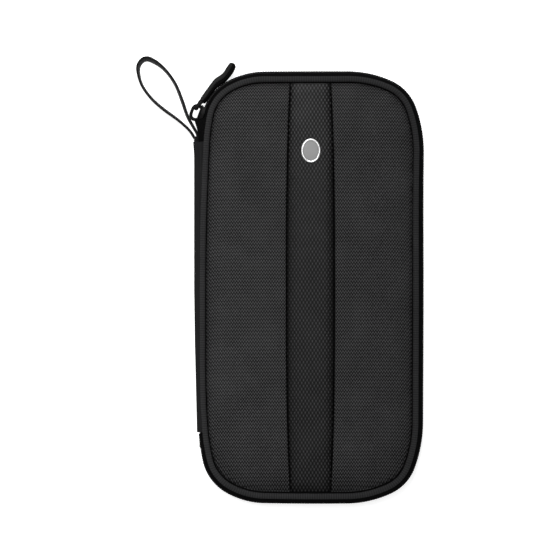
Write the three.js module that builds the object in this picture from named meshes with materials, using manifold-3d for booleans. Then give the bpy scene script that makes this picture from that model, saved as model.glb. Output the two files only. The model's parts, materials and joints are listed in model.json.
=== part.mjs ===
// Zip-round travel-document organiser: a clamshell case with a padded front and back cover,
// a fabric spine, a coil zip round the other three sides, and pockets inside.
// Millimetres. It lies on its back cover: +X right (the spine is on the left), +Y to the top,
// +Z up out of the front cover. The origin is the middle of the back cover's outer face.
import * as THREE from "three";
import { mergeVertices } from "three/addons/utils/BufferGeometryUtils.js";
import Module from "manifold-3d";

// ---- driving dimensions -------------------------------------------------------------------
const WIDTH = 135; // over the zip, left to right
const HEIGHT = 255; // over the zip, bottom to top
const DEPTH = 25; // closed, over both covers
const GAP = 0.3; // air between neighbouring pieces

// The outline's corners: arcs of radius and turn, from the top or bottom edge to the side.
const RIGHT_CORNER = [[61.4, 25], [26.9, 45], [80.3, 20]];
const LEFT_CORNER = [[46.5, 29], [29, 50], [130, 8]]; // the bowed spine side closes the turn
const ARC_STEP = 7; // degrees between points on a corner

// Covers, as heights from the outer face; the front cover mirrors the back cover.
const FABRIC = [0, 1.5];
const FOAM = [1.8, 3.2];
const LINING = [3.5, 4];
const PANEL_INSET = 6.8; // the outer fabric's edge, inside the piping
const FOAM_INSET = 7.6;
const LINING_INSET = 7;
const PIPING = { inset: 4.5, height: 2.1, radius: 1.85, sides: 10 };

// The centre strip down the front cover.
const STRIP_X = 0.9;
const STRIP_HALF = 11.2; // at its two ends
const STRIP_SINK = 0.9; // how far it lies below the front panels
const STRIP_BOW = 2.8; // its sides bow out by this at mid height

// Zip tape and coil, as sections of [inset, height] from the back cover's outer face.
const TAPE_SECTION = [[2.9, 4.4], [3.9, 4.4], [2.0, 9.4], [1.0, 9.4]];
const COIL_SECTION = [[0.5, 9.7], [2.1, 9.7], [2.4, 10.4], [2.4, 11.9], [0, 11.9], [0, 10.4]];
const SHORT_TAPE_TOP = 7.6; // the front tape is this short where the slider travels
const CHAIN_HEADING = 84; // degrees: the tapes end here, beside each end of the spine
const COIL_HEADING = 82;
const FRONT_COIL_HEADING = 31; // the front coil starts past the slider's travel

// Spine: three layers between the two hinge lines.
const HINGE_X = -65.5;
const HINGE_Z = 4;
const SPINE_TOP = 85.5;
const SPINE_BOTTOM = -84.5;
const SPINE_MARGIN = 1; // from each hinge line to the spine's edge
const SPINE_COVER = [2.7, 1.7]; // each layer's faces, out from the hinge lines
const SPINE_BOARD = [1.4, 0.2];
const SPINE_LINING = [-0.1, -0.6];
const SPINE_BOW = 0.7; // its ends curve in by this

// Slider: its place on the top left corner, then sizes along, out from and across the chain.
const SLIDER_HEADING = 78;
const SLIDER_TILT = -8;
const SLIDER_LENGTH = 10.5;
const SLIDER_WIDTH = 8.4;
const OUTER_PLATE = [0.9, 2.1];
const INNER_PLATE = [-5.2, -4.1];
const DIVIDER = { from: -4.6, to: -1.8, thickness: 0.6 };
const BAIL = { half: 4.6, foot: 2.4, top: 7.1, wire: 1.1, width: 2.8 };
const PIN = { along: 2.3, out: 4.6, radius: 0.8 };

// Puller: the grip's outline, lying beside the corner, and the cheeks that hold the pin.
const GRIP_OUTLINE = [
  [-61.4, 108.9], [-58.5, 113.6], [-55.4, 118.1], [-49.2, 122.3], [-45.2, 126.9], [-43.3, 130.3],
  [-45.2, 132.6], [-46.5, 132.5], [-50.6, 126.2], [-55.5, 123.2], [-63.9, 111.6], [-63.2, 109.8],
];
const GRIP_WIDTH = 7.5;
const CHEEK = { radius: 1.25, thickness: 1.2, gap: 0.4 };
const TANG = { from: [-64, 109.45], to: [-59, 115.9], half: 1.3, reach: 0.4, width: 3.2 };

// Badge on the centre strip: an oval rim round a flat field.
const BADGE = { x: 1.1, y: 80.6, halfX: 5.7, halfY: 7.1, rim: 1.1 };

// Inside, back cover: card slots above a passport pocket, and a pen loop by the spine.
const CARD_PANEL = { left: -42, right: 50, bottom: 14, top: 112, height: [4.3, 5.1] };
const CARD_SLOT_TOPS = [96, 79, 62, 45];
const CARD_SLOT = { thickness: 0.6, pitch: 0.9, base: 5.4 };
const PASSPORT = { left: -46, right: 54, bottom: -112, top: 6, height: [4.3, 9.9], wall: 1.2, face: 0.8 };
const PEN_LOOP = { x: -52.5, bottom: 30, top: 62, width: 11, height: [4.3, 15.6], wall: 1 };

// Inside, front cover, as heights from the front cover's outer face.
const PASS_POCKET = { left: -53, right: 56, bottom: -116, top: 62, height: [4.3, 5] };
const MESH = { left: -50, right: 54, bottom: -112, top: 84, border: 6, height: [5.3, 6.1] };
const INNER_TAPE = { low: [84.3, 88.2], high: [92, 96], height: [5.3, 6.1] };
const INNER_COIL = { y: [88.5, 91.7], height: [5, 6.4] };
const INNER_SLIDER = { x: -42, length: 9, width: 7, height: [6.7, 8.9] };
const INNER_PULL = { length: 15, width: 4, thickness: 1 };

// Wrist loop: an elastic ribbon standing on its edge, from the spine's top end and back to it.
const RIBBON = { width: 6, thickness: 1.2, steps: 72 };
const RIBBON_ROUTE = [
  [-67.4, 88.4, 5], [-70.4, 93, 4.4], [-77, 99.2, 3.4], [-86.2, 106, 3.1], [-93.2, 112.3, 3.1],
  [-98.8, 120.1, 3.1], [-100.9, 127, 3.1], [-100.9, 131.7, 3.1], [-98.4, 135.1, 3.1], [-95.7, 135.8, 3.1],
  [-91.7, 134.3, 3.1], [-86.7, 130.7, 3.1], [-82.1, 125.5, 3.1], [-78.5, 119.6, 3.1], [-75, 110.7, 3.2],
  [-71.7, 101.4, 3.7], [-68.1, 94.8, 4.5], [-66.1, 91.2, 4.9], [-65.7, 88.4, 5],
];
const ANCHOR = { x: [-68.2, -65], y: [86, 88.1], z: [1.9, 8.1] };

// ---- outline ------------------------------------------------------------------------------
const rad = THREE.MathUtils.degToRad;

// One corner of the outline as arcs about known centres, in u (out from x = 0) and v (in from
// the top or bottom edge). A bow, if asked for, carries the last heading on to 90 degrees at
// mid height. Returns a function from heading to station; a station gives [x, y] at an inset.
function makeCorner(arcs, side, bow) {
  const pieces = [];
  let heading = 0, u = 0, v = 0;
  const add = (radius, turn) => {
    const a = rad(heading), b = rad(heading + turn);
    pieces.push({ radius, end: heading + turn, u: u - radius * Math.sin(a), v: v + radius * Math.cos(a) });
    u += radius * (Math.sin(b) - Math.sin(a));
    v += radius * (Math.cos(a) - Math.cos(b));
    heading += turn;
  };
  for (const [radius, turn] of arcs) add(radius, turn);
  if (bow) add((HEIGHT / 2 - v) / Math.cos(rad(heading)), 90 - heading);
  const start = WIDTH / 2 - u;
  const pieceAt = (a) => pieces.find((p) => a <= p.end + 1e-9);
  const station = (a, upper) => (inset) => {
    const p = pieceAt(a);
    const r = p.radius - inset;
    const x = start + p.u + r * Math.sin(rad(a));
    return [side * x, upper * (HEIGHT / 2 - p.v + r * Math.cos(rad(a)))];
  };
  const centre = (a) => new THREE.Vector2(side * (start + pieceAt(a).u), HEIGHT / 2 - pieceAt(a).v);
  return { station, centre };
}

const left = makeCorner(LEFT_CORNER, -1, true);
const right = makeCorner(RIGHT_CORNER, 1, false);

// Headings from one angle to another in even steps of about ARC_STEP.
function headings(from, to) {
  const steps = Math.max(1, Math.round(Math.abs(to - from) / ARC_STEP));
  return Array.from({ length: steps + 1 }, (_, i) => from + ((to - from) * i) / steps);
}

// Stations clockwise seen from +Z, from a heading on the top left corner round the top, the
// right side and the bottom to a heading on the bottom left corner.
function run(from, to) {
  return [
    ...headings(from, 0).map((a) => left.station(a, 1)),
    ...headings(0, 90).map((a) => right.station(a, 1)),
    ...headings(90, 0).map((a) => right.station(a, -1)),
    ...headings(0, to).map((a) => left.station(a, -1)),
  ];
}

// The whole outline, once round; the spine side is split where it bows.
function wholeLoop() {
  const bow = [87.5, 88.5];
  return [
    left.station(90, 1), ...bow.slice().reverse().map((a) => left.station(a, 1)),
    ...run(86, 86), ...bow.map((a) => left.station(a, -1)),
  ];
}

// ---- solids -------------------------------------------------------------------------------
const wasm = await Module();
wasm.setup();

// Rings of points joined into a closed skin: each ring is a closed section, and the run of
// rings is closed too, or capped at both ends.
function skin(rings, closed) {
  const n = rings[0].length;
  const points = rings.flat().map((p) => new THREE.Vector3(...p));
  const faces = [];
  const last = closed ? rings.length : rings.length - 1;
  for (let i = 0; i < last; i++) {
    for (let k = 0; k < n; k++) {
      const a = i * n + k, b = i * n + ((k + 1) % n);
      const c = ((i + 1) % rings.length) * n + ((k + 1) % n), d = ((i + 1) % rings.length) * n + k;
      faces.push([a, b, c], [a, c, d]);
    }
  }
  if (!closed) {
    const end = (rings.length - 1) * n;
    for (let k = 1; k < n - 1; k++) faces.push([0, k + 1, k], [end, end + k, end + k + 1]);
  }
  const geometry = new THREE.BufferGeometry().setFromPoints(points);
  geometry.setIndex(faces.flat());
  return outward(geometry);
}

// Turns a closed skin's faces to point out.
function outward(geometry) {
  const position = geometry.getAttribute("position"), index = geometry.getIndex();
  const [a, b, c] = [new THREE.Vector3(), new THREE.Vector3(), new THREE.Vector3()];
  let volume = 0;
  for (let i = 0; i < index.count; i += 3) {
    [a, b, c].forEach((p, k) => p.fromBufferAttribute(position, index.getX(i + k)));
    volume += a.dot(b.cross(c));
  }
  if (volume < 0) geometry.setIndex(Array.from(index.array).reverse());
  return geometry;
}

// A section of [inset, height] carried round a list of stations.
function band(stations, section, closed = false) {
  const sectionAt = typeof section === "function" ? section : () => section;
  return skin(stations.map((s, i) => sectionAt(i).map(([inset, z]) => [...s(inset), z])), closed);
}

// A flat plate between two heights, from a closed outline of [x, y].
function plate(outline, low, high, holes = []) {
  const shape = new THREE.Shape(outline.map((p) => new THREE.Vector2(...p)));
  for (const hole of holes) shape.holes.push(new THREE.Path(hole.map((p) => new THREE.Vector2(...p))));
  const settings = { depth: high - low, bevelEnabled: false, curveSegments: 6 };
  return new THREE.ExtrudeGeometry(shape, settings).translate(0, 0, low);
}

function block([x0, x1], [y0, y1], [z0, z1]) {
  const geometry = new THREE.BoxGeometry(x1 - x0, y1 - y0, z1 - z0);
  return geometry.translate((x0 + x1) / 2, (y0 + y1) / 2, (z0 + z1) / 2);
}

function ellipse(x, y, halfX, halfY, count = 28) {
  return Array.from({ length: count }, (_, i) => {
    const a = (2 * Math.PI * i) / count;
    return [x + halfX * Math.cos(a), y + halfY * Math.sin(a)];
  });
}

// A rectangle of [x, y] with rounded corners.
function roundedRect(x0, x1, y0, y1, radius, steps = 4) {
  const corners = [[x1 - radius, y1 - radius, 0], [x0 + radius, y1 - radius, 90],
    [x0 + radius, y0 + radius, 180], [x1 - radius, y0 + radius, 270]];
  return corners.flatMap(([x, y, turn]) => Array.from({ length: steps + 1 }, (_, i) => {
    const a = rad(turn + (90 * i) / steps);
    return [x + radius * Math.cos(a), y + radius * Math.sin(a)];
  }));
}

function toSolid(geometry) {
  const bare = geometry.clone();
  bare.deleteAttribute("normal");
  bare.deleteAttribute("uv");
  const merged = mergeVertices(bare, 1e-5);
  const mesh = new wasm.Mesh({
    numProp: 3,
    vertProperties: new Float32Array(merged.getAttribute("position").array),
    triVerts: new Uint32Array(merged.getIndex().array),
  });
  return new wasm.Manifold(mesh);
}

function toGeometry(solid) {
  const mesh = solid.getMesh();
  const geometry = new THREE.BufferGeometry();
  geometry.setAttribute("position", new THREE.Float32BufferAttribute(mesh.vertProperties, 3));
  geometry.setIndex(Array.from(mesh.triVerts));
  return geometry;
}

const union = (...parts) => toGeometry(parts.map(toSolid).reduce((a, b) => a.add(b)));
const cut = (base, ...tools) => toGeometry(tools.map(toSolid).reduce((a, b) => a.subtract(b), toSolid(base)));
const common = (a, b) => toGeometry(toSolid(a).intersect(toSolid(b)));
const mirrored = ([low, high]) => [DEPTH - high, DEPTH - low];
const mirrorSection = (section) => section.map(([inset, z]) => [inset, DEPTH - z]);

// ---- scene --------------------------------------------------------------------------------
const COLOURS = {
  nylon: [0x37373a, 0.8], strip: [0x404042, 0.6], binding: [0x2c2c2e, 0.7], lining: [0x55565a, 0.85],
  foam: [0x2a2a2c, 0.95], zip: [0x151516, 0.6], mesh: [0x232325, 0.8], puller: [0x1b1b1c, 0.6],
  metal: [0xb9bbbd, 0.3, 1], dark_metal: [0x222224, 0.4, 0.9], field: [0x6a6b6e, 0.4, 0.8],
  ribbon: [0x1c1c1d, 0.85],
};
const organiser = new THREE.Group();

function node(name, geometry, look) {
  const [color, roughness, metalness = 0] = COLOURS[look];
  const mesh = new THREE.Mesh(geometry, new THREE.MeshStandardMaterial({ color, roughness, metalness }));
  mesh.name = name;
  organiser.add(mesh);
}

// ---- covers -------------------------------------------------------------------------------
const loop = wholeLoop();
const coverPlate = (inset, low, high) => plate(loop.map((s) => s(inset)), low, high);

function pipingSection() {
  return ellipse(PIPING.inset, PIPING.height, PIPING.radius, PIPING.radius, PIPING.sides);
}

node("back_outer_fabric", coverPlate(PANEL_INSET, ...FABRIC), "nylon");
node("back_foam_board", coverPlate(FOAM_INSET, ...FOAM), "foam");
node("back_lining", coverPlate(LINING_INSET, ...LINING), "lining");
node("back_piping", band(loop, pipingSection(), true), "binding");
node("front_foam_board", coverPlate(FOAM_INSET, ...mirrored(FOAM)), "foam");
node("front_lining", coverPlate(LINING_INSET, ...mirrored(LINING)), "lining");
node("front_piping", band(loop, mirrorSection(pipingSection()), true), "binding");

// The strip's two long sides, bowed outwards; a side panel starts a gap beyond.
function stripSide(side, extra) {
  const reach = HEIGHT / 2;
  return Array.from({ length: 13 }, (_, i) => {
    const t = -1 + i / 6;
    return [STRIP_X + side * (STRIP_HALF + extra + STRIP_BOW * (1 - Math.abs(t) ** 3)), t * reach];
  });
}

const stripArea = (extra) => [...stripSide(1, extra), ...stripSide(-1, extra).reverse()];
const [frontLow, frontHigh] = mirrored(FABRIC);
const frontFabric = coverPlate(PANEL_INSET, frontLow, frontHigh);
const panels = toSolid(frontFabric).subtract(toSolid(plate(stripArea(GAP), frontLow - 1, frontHigh + 1)));
for (const solid of panels.decompose()) {
  const side = solid.boundingBox().min[0] < STRIP_X - STRIP_HALF ? "left" : "right";
  node(`front_panel_${side}`, toGeometry(solid), "nylon");
}
const stripPlate = plate(stripArea(0), frontLow, frontHigh - STRIP_SINK);
node("front_centre_strip", common(stripPlate, frontFabric), "strip");

// Badge: an oval metal rim and the field inside it, both riveted on through the strip.
const badgeLow = frontHigh - STRIP_SINK + GAP;
const badgeOval = (less) => ellipse(BADGE.x, BADGE.y, BADGE.halfX - less, BADGE.halfY - less);
node("badge_rim", plate(badgeOval(0), badgeLow, DEPTH, [badgeOval(BADGE.rim).reverse()]), "metal");
node("badge_field", plate(badgeOval(BADGE.rim + GAP), badgeLow, DEPTH - 0.2), "field");

// ---- zip ----------------------------------------------------------------------------------
node("back_zip_tape", band(run(CHAIN_HEADING, CHAIN_HEADING), TAPE_SECTION), "zip");
node("back_zip_coil", band(run(COIL_HEADING, COIL_HEADING), COIL_SECTION), "zip");

// The front tape is short where the slider travels, and full beyond it.
function frontTape() {
  const [inner, outer, outerEnd, innerEnd] = TAPE_SECTION;
  const share = (SHORT_TAPE_TOP - inner[1]) / (innerEnd[1] - inner[1]);
  const cutBack = (from, to) => [from[0] + (to[0] - from[0]) * share, SHORT_TAPE_TOP];
  const short = [inner, outer, cutBack(outer, outerEnd), cutBack(inner, innerEnd)];
  const before = headings(CHAIN_HEADING, FRONT_COIL_HEADING + 0.5).map((a) => left.station(a, 1));
  const after = run(FRONT_COIL_HEADING, CHAIN_HEADING);
  return band([...before, ...after], (i) => mirrorSection(i < before.length ? short : TAPE_SECTION));
}
node("front_zip_tape", frontTape(), "zip");
node("front_zip_coil", band(run(FRONT_COIL_HEADING, COIL_HEADING), mirrorSection(COIL_SECTION)), "zip");

// Stitched stops where the chain ends beside the spine's lower end, one on each coil.
const stopStations = headings(COIL_HEADING + 0.4, CHAIN_HEADING + 1.2).map((a) => left.station(a, -1));
const STOP_SECTION = [[-0.4, 9.8], [2.7, 9.8], [2.7, 12.3], [-0.4, 12.3]];
node("back_zip_stop", band(stopStations, STOP_SECTION), "dark_metal");
node("front_zip_stop", band(stopStations, mirrorSection(STOP_SECTION)), "dark_metal");

// ---- spine --------------------------------------------------------------------------------
// A layer between two faces at distances out from the hinge lines, curving in at both ends.
function spineLayer([outer, inner], trim) {
  const steps = 12;
  const low = HINGE_Z + SPINE_MARGIN, high = DEPTH - low;
  const middle = (SPINE_TOP + SPINE_BOTTOM) / 2, half = (SPINE_TOP - SPINE_BOTTOM) / 2;
  const rings = Array.from({ length: steps + 1 }, (_, i) => {
    const t = (-1 + (2 * i) / steps) * (1 - trim / half);
    const [a, b] = [outer, inner].map((out) => HINGE_X - out + SPINE_BOW * t * t);
    const y = middle + half * t;
    return [[a, y, low], [b, y, low], [b, y, high], [a, y, high]];
  });
  return skin(rings, false);
}
node("spine_cover", spineLayer(SPINE_COVER, 0), "nylon");
node("spine_board", spineLayer(SPINE_BOARD, 1.5), "foam");
node("spine_lining", spineLayer(SPINE_LINING, 0.5), "lining");

// ---- slider and puller --------------------------------------------------------------------
// A frame on the chain: x along it, y out of the case, z up from mid depth.
const sliderPlace = left.station(SLIDER_HEADING, 1)(0);
const sliderFrame = new THREE.Matrix4()
  .makeTranslation(sliderPlace[0], sliderPlace[1], DEPTH / 2)
  .multiply(new THREE.Matrix4().makeRotationZ(rad(SLIDER_HEADING + SLIDER_TILT)));
const placed = (geometry) => geometry.applyMatrix4(sliderFrame);

// A slider plate seen from outside: a rounded shield, narrower at its tail.
function sliderPlate([low, high]) {
  const l = SLIDER_LENGTH / 2, w = SLIDER_WIDTH / 2;
  const outline = [[-l, -w * 0.55], [-l * 0.6, -w], [l * 0.5, -w], [l, -w * 0.65],
    [l, w * 0.65], [l * 0.5, w], [-l * 0.6, w], [-l, w * 0.55]];
  return plate(outline, low, high).applyMatrix4(new THREE.Matrix4().makeRotationX(Math.PI / 2))
    .applyMatrix4(new THREE.Matrix4().makeScale(1, -1, 1));
}

function flipped(geometry) {
  const bare = geometry.clone();
  bare.deleteAttribute("normal");
  bare.deleteAttribute("uv");
  return outward(mergeVertices(bare, 1e-5));
}

const divider = block([DIVIDER.from, DIVIDER.to], [INNER_PLATE[1] - 0.5, OUTER_PLATE[0] + 0.5],
  [-DIVIDER.thickness / 2, DIVIDER.thickness / 2]);
const sliderBody = union(flipped(sliderPlate(OUTER_PLATE)), flipped(sliderPlate(INNER_PLATE)), divider);
node("slider_body", placed(sliderBody), "dark_metal");

// The bail: an arch of flat wire over the outer plate.
function bail() {
  const { half, foot, top, wire, width } = BAIL;
  const shoulder = 1.6;
  const outline = [[-half, foot], [-half + wire, foot], [-half + wire, top - wire - shoulder / 2],
    [-half + wire + shoulder / 2, top - wire], [half - wire - shoulder / 2, top - wire],
    [half - wire, top - wire - shoulder / 2], [half - wire, foot], [half, foot], [half, top - shoulder],
    [half - shoulder, top], [-half + shoulder, top], [-half, top - shoulder]];
  return plate(outline, -width / 2, width / 2);
}
node("slider_bail", placed(bail()), "dark_metal");

// The puller's metal shackle: a pin through the bail, two cheeks, and a tang inside the grip.
const pin = new THREE.Vector3(PIN.along, PIN.out, 0).applyMatrix4(sliderFrame);
const cheekInside = BAIL.width / 2 + CHEEK.gap;
const cheekOutside = cheekInside + CHEEK.thickness;

function shackle() {
  const from = new THREE.Vector2(pin.x, pin.y), to = new THREE.Vector2(...TANG.from);
  const along = to.clone().sub(from).normalize();
  const side = new THREE.Vector2(-along.y, along.x);
  const at = (base, a, s) => base.clone().addScaledVector(along, a).addScaledVector(side, s).toArray();
  const round = Array.from({ length: 9 }, (_, i) => {
    const a = Math.PI / 2 + (Math.PI * i) / 8;
    return at(from, CHEEK.radius * Math.cos(a), CHEEK.radius * Math.sin(a));
  });
  const outline = [...round, at(to, TANG.reach, -TANG.half), at(to, TANG.reach, TANG.half)];
  const cheeks = [cheekInside, -cheekOutside].map((z) =>
    plate(outline, DEPTH / 2 + z, DEPTH / 2 + z + CHEEK.thickness));
  const rod = new THREE.CylinderGeometry(PIN.radius, PIN.radius, 2 * cheekOutside - 0.4, 16)
    .rotateX(Math.PI / 2).translate(pin.x, pin.y, DEPTH / 2);
  const bridge = plate([[-0.6, -1], [TANG.reach, -1], [TANG.reach, 1], [-0.6, 1]].map(([a, s]) =>
    at(to, a, s * TANG.half)), DEPTH / 2 - cheekOutside, DEPTH / 2 + cheekOutside);
  const tangEnd = new THREE.Vector2(...TANG.to);
  const dir = tangEnd.clone().sub(to).normalize();
  const across = new THREE.Vector2(-dir.y, dir.x);
  const spot = (base, a, s) => base.clone().addScaledVector(dir, a).addScaledVector(across, s).toArray();
  const half = 0.7;
  const tang = plate([spot(to, 0, -half), spot(tangEnd, 0, -half), spot(tangEnd, 0, half),
    spot(to, 0, half)], DEPTH / 2 - TANG.width / 2, DEPTH / 2 + TANG.width / 2);
  return union(...cheeks, rod, bridge, tang);
}
node("puller_shackle", shackle(), "dark_metal");

// The moulded grip, with a blind slot that the tang sits in.
function grip() {
  const [from, to] = [new THREE.Vector2(...TANG.from), new THREE.Vector2(...TANG.to)];
  const dir = to.clone().sub(from).normalize();
  const across = new THREE.Vector2(-dir.y, dir.x);
  const spot = (base, a, s) => base.clone().addScaledVector(dir, a).addScaledVector(across, s).toArray();
  const half = 0.7 + GAP, reach = TANG.width / 2 + GAP;
  const slot = plate([spot(from, -3, -half), spot(to, GAP, -half), spot(to, GAP, half),
    spot(from, -3, half)], DEPTH / 2 - reach, DEPTH / 2 + reach);
  return cut(plate(GRIP_OUTLINE, (DEPTH - GRIP_WIDTH) / 2, (DEPTH + GRIP_WIDTH) / 2), slot);
}
node("puller_grip", grip(), "puller");

// ---- inside the back cover ----------------------------------------------------------------
node("card_panel", plate(roundedRect(CARD_PANEL.left, CARD_PANEL.right, CARD_PANEL.bottom,
  CARD_PANEL.top, 8), ...CARD_PANEL.height), "lining");
CARD_SLOT_TOPS.forEach((top, i) => {
  const low = CARD_SLOT.base + i * CARD_SLOT.pitch;
  const outline = roundedRect(CARD_PANEL.left, CARD_PANEL.right, CARD_PANEL.bottom, top, 2, 2);
  node(`card_slot_${i + 1}`, plate(outline, low, low + CARD_SLOT.thickness), "lining");
});

// The passport pocket: a shallow tray open at its top end and against the lining.
function passportPocket() {
  const { left: l, right: r, bottom, top, height, wall, face } = PASSPORT;
  const outer = plate(roundedRect(l, r, bottom, top, 5), ...height);
  const inner = block([l + wall, r - wall], [bottom + wall, top + 9], [height[0] - 1, height[1] - face]);
  return cut(outer, inner);
}
node("passport_pocket", passportPocket(), "lining");

// The pen loop: an elastic sleeve, stitched down to the lining.
function penLoop() {
  const { x, bottom, top, width, height, wall } = PEN_LOOP;
  const sleeve = block([x - width / 2, x + width / 2], [bottom, top], height);
  const bore = block([x - width / 2 + wall, x + width / 2 - wall], [bottom - 1, top + 1],
    [height[0] + wall, height[1] - wall]);
  return cut(sleeve, bore);
}
node("pen_loop", penLoop(), "ribbon");

// ---- inside the front cover ---------------------------------------------------------------
node("boarding_pass_pocket", plate(roundedRect(PASS_POCKET.left, PASS_POCKET.right,
  PASS_POCKET.bottom, PASS_POCKET.top, 14, 5), ...mirrored(PASS_POCKET.height)), "lining");

const meshLevel = mirrored(MESH.height);
const meshOuter = roundedRect(MESH.left, MESH.right, MESH.bottom, MESH.top, 12, 5);
const meshInner = (extra) => roundedRect(MESH.left + MESH.border - extra, MESH.right - MESH.border + extra,
  MESH.bottom + MESH.border - extra, MESH.top - MESH.border + extra, 7 + extra, 5);
node("mesh_pocket_border", plate(meshOuter, ...meshLevel, [meshInner(0).reverse()]), "binding");
node("mesh_pocket_net", plate(meshInner(-GAP), ...meshLevel), "mesh");

const innerTapes = [INNER_TAPE.low, INNER_TAPE.high];
innerTapes.forEach((y, i) => {
  node(`inner_zip_tape_${i + 1}`, block([MESH.left, MESH.right], y, mirrored(INNER_TAPE.height)), "zip");
});
node("inner_zip_coil", block([MESH.left + 2, MESH.right - 2], INNER_COIL.y,
  mirrored(INNER_COIL.height)), "zip");

const innerMiddle = (INNER_COIL.y[0] + INNER_COIL.y[1]) / 2;
const [innerLow, innerHigh] = mirrored(INNER_SLIDER.height);
node("inner_slider", block([INNER_SLIDER.x - INNER_SLIDER.length / 2, INNER_SLIDER.x + INNER_SLIDER.length / 2],
  [innerMiddle - INNER_SLIDER.width / 2, innerMiddle + INNER_SLIDER.width / 2], [innerLow + 0.9, innerHigh]),
"dark_metal");
node("inner_pull", plate(roundedRect(INNER_SLIDER.x - 2, INNER_SLIDER.x - 2 + INNER_PULL.length,
  innerMiddle - INNER_PULL.width / 2, innerMiddle + INNER_PULL.width / 2, 1.9), innerLow - GAP,
innerLow - GAP + INNER_PULL.thickness - 0.1), "dark_metal");

// ---- wrist loop ---------------------------------------------------------------------------
function ribbon() {
  const curve = new THREE.CatmullRomCurve3(RIBBON_ROUTE.map((p) => new THREE.Vector3(...p)), false, "centripetal");
  const rings = Array.from({ length: RIBBON.steps + 1 }, (_, i) => {
    const p = curve.getPointAt(i / RIBBON.steps), t = curve.getTangentAt(i / RIBBON.steps);
    const across = new THREE.Vector2(-t.y, t.x).normalize().multiplyScalar(RIBBON.thickness / 2);
    const half = RIBBON.width / 2;
    return [[1, -half], [1, half], [-1, half], [-1, -half]].map(([s, z]) =>
      [p.x + s * across.x, p.y + s * across.y, p.z + z]);
  });
  return skin(rings, false);
}
node("wrist_loop", ribbon(), "ribbon");
node("wrist_loop_anchor", block(ANCHOR.x, ANCHOR.y, ANCHOR.z), "binding");

export default organiser;
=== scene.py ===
"""Looks for a zip-round travel-document organiser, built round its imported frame.

Lengths are in millimetres until a mesh is made. The case lies on its back cover: the spine is at
-X, the slider and wrist loop are at the top left corner, and +Z comes out of the front cover.
"""

import json
import math

import bmesh
import bpy
import numpy as np
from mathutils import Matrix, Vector


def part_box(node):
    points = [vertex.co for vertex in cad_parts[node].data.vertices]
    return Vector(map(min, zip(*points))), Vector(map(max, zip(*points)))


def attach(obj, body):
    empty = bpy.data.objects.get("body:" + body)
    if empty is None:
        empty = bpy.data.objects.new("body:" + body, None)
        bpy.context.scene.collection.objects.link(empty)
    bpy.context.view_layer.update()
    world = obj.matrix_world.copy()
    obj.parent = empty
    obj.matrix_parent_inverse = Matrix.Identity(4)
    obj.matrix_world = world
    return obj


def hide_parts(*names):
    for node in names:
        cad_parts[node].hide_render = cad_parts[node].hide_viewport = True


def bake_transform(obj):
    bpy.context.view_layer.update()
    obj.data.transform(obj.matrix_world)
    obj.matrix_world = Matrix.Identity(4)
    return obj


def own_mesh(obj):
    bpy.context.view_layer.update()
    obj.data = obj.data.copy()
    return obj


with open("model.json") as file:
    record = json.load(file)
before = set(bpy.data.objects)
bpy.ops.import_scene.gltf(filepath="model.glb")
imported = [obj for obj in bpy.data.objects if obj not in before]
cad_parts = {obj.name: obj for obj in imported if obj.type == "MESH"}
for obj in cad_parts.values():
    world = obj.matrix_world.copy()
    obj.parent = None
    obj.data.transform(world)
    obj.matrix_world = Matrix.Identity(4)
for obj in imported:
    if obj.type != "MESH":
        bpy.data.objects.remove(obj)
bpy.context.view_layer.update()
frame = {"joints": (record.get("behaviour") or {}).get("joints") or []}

MM = 0.001
UP = np.array([0, 0, 1.0])
scene = bpy.context.scene


def mm_box(node):
    return [np.array(corner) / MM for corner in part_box(node)]


# ---- sizes, read from the frame or shared with the model ------------------------------------
HALF_W, HALF_H = mm_box("back_zip_coil")[1][:2]
DEPTH = mm_box("front_panel_left")[1][2]
RIGHT_CORNER = [(61.4, 25), (26.9, 45), (80.3, 20)]  # arcs: radius, turn in degrees
LEFT_CORNER = [(46.5, 29), (29, 50), (130, 8)]
STRIP_X, STRIP_HALF, STRIP_BOW = 0.9, 11.2, 2.8
PANEL_INSET = 7.3
PIPING_INSET, PIPING_HEIGHT, PIPING_RADIUS = 5.0, 2.1, 1.7
TOOTH_PITCH = 1.5
# Where the sewn edge strays from the drawn outline: place, reach, then how far the outline and the
# piping move out.
EASE = [((58, 100), 35, 0.6, 0.95), ((67.5, 0), 60, 0.35, 0.3), ((0, 127.5), 40, 0.4, 0.0),
        ((-63, -70), 35, 0.0, 1.1), ((-45, -118), 30, -0.6, -0.7), ((45, -120), 25, -0.4, -0.4)]


# ---- camera, light and floor ----------------------------------------------------------------
def make_camera(centre=(-17.0, 4.65), span=330.6, distance=2000.0):
    """A long lens straight above the case, with +Y up in the picture."""
    camera = bpy.data.cameras.new("camera")
    camera.sensor_width = 36
    camera.lens = camera.sensor_width * (distance - DEPTH / 2) / span
    camera.clip_end = 10
    holder = bpy.data.objects.new("camera", camera)
    holder.location = (centre[0] * MM, centre[1] * MM, distance * MM)
    scene.collection.objects.link(holder)
    scene.camera = holder


def make_light(name, place, target, size, power, spread=180):
    light = bpy.data.lights.new(name, "AREA")
    light.shape, light.size, light.size_y, light.energy = "RECTANGLE", size[0], size[1], power
    light.spread = math.radians(spread)
    holder = bpy.data.objects.new(name, light)
    holder.location = place
    holder.rotation_euler = (Vector(target) - Vector(place)).to_track_quat("-Z", "Y").to_euler()
    holder.visible_camera = False
    scene.collection.objects.link(holder)


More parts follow.
